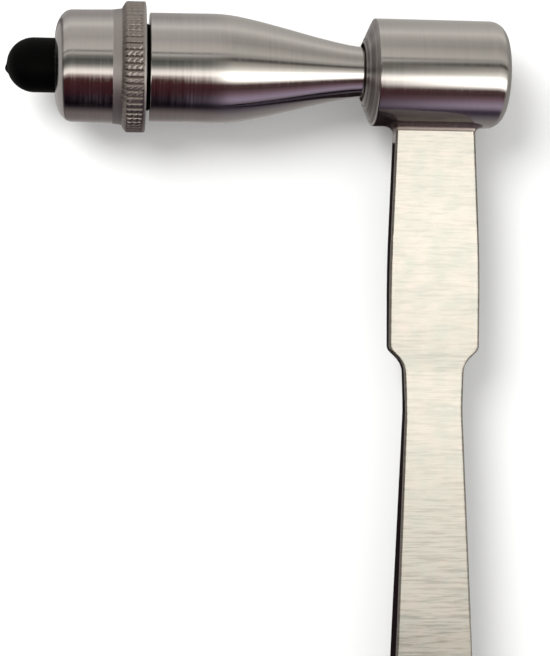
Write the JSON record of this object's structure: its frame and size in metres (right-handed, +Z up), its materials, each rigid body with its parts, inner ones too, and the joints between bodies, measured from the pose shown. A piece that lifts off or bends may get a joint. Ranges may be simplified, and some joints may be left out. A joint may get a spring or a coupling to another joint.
{
  "type": "reflex hammer",
  "caption": "All-steel reflex hammer: a turned head with a knurled screw cap that clamps a rubber striking tip, set across a flat waisted handle.",
  "frame": {"origin": "under the middle of the whole hammer, on the surface it lies on", "axes": "+Z up from the surface, +Y along the handle towards the head, the head along X with its striking tip at -X"},
  "size_m": [0.0892, 0.1794, 0.023],
  "materials": {
    "tip_rubber": "moulded, matt",
    "turned_steel": "turned and satin polished round the axis",
    "seal_rubber": "moulded, satin",
    "stud_steel": "rolled thread",
    "ground_steel": "surface ground across the handle",
    "braze_metal": "silver brazed and blended by hand"
  },
  "bodies": {
    "hammer": {"head_body": "turned_steel", "seal_ring": "seal_rubber", "neck_stud": "stud_steel", "hub": "turned_steel", "handle": "ground_steel", "braze_fillet": "braze_metal"},
    "tip": {"rubber_tip": "tip_rubber"},
    "cap": {"screw_cap": "turned_steel"}
  },
  "joints": [
    {"name": "tip_slide", "type": "slide", "parent": "hammer", "child": "tip", "axis": [-1, 0, 0], "range_m": [0, 0.0081]},
    {"name": "cap_turn", "type": "hinge", "parent": "tip", "child": "cap", "pos_m": [-0.02805, 0.07825, 0.0115], "axis": [-1, 0, 0], "range_deg": [0, 2880]}
  ],
  "couplings": [
    {"joint": "tip_slide", "follows": "cap_turn", "m_per_rad": 0.00015915}
  ]
}
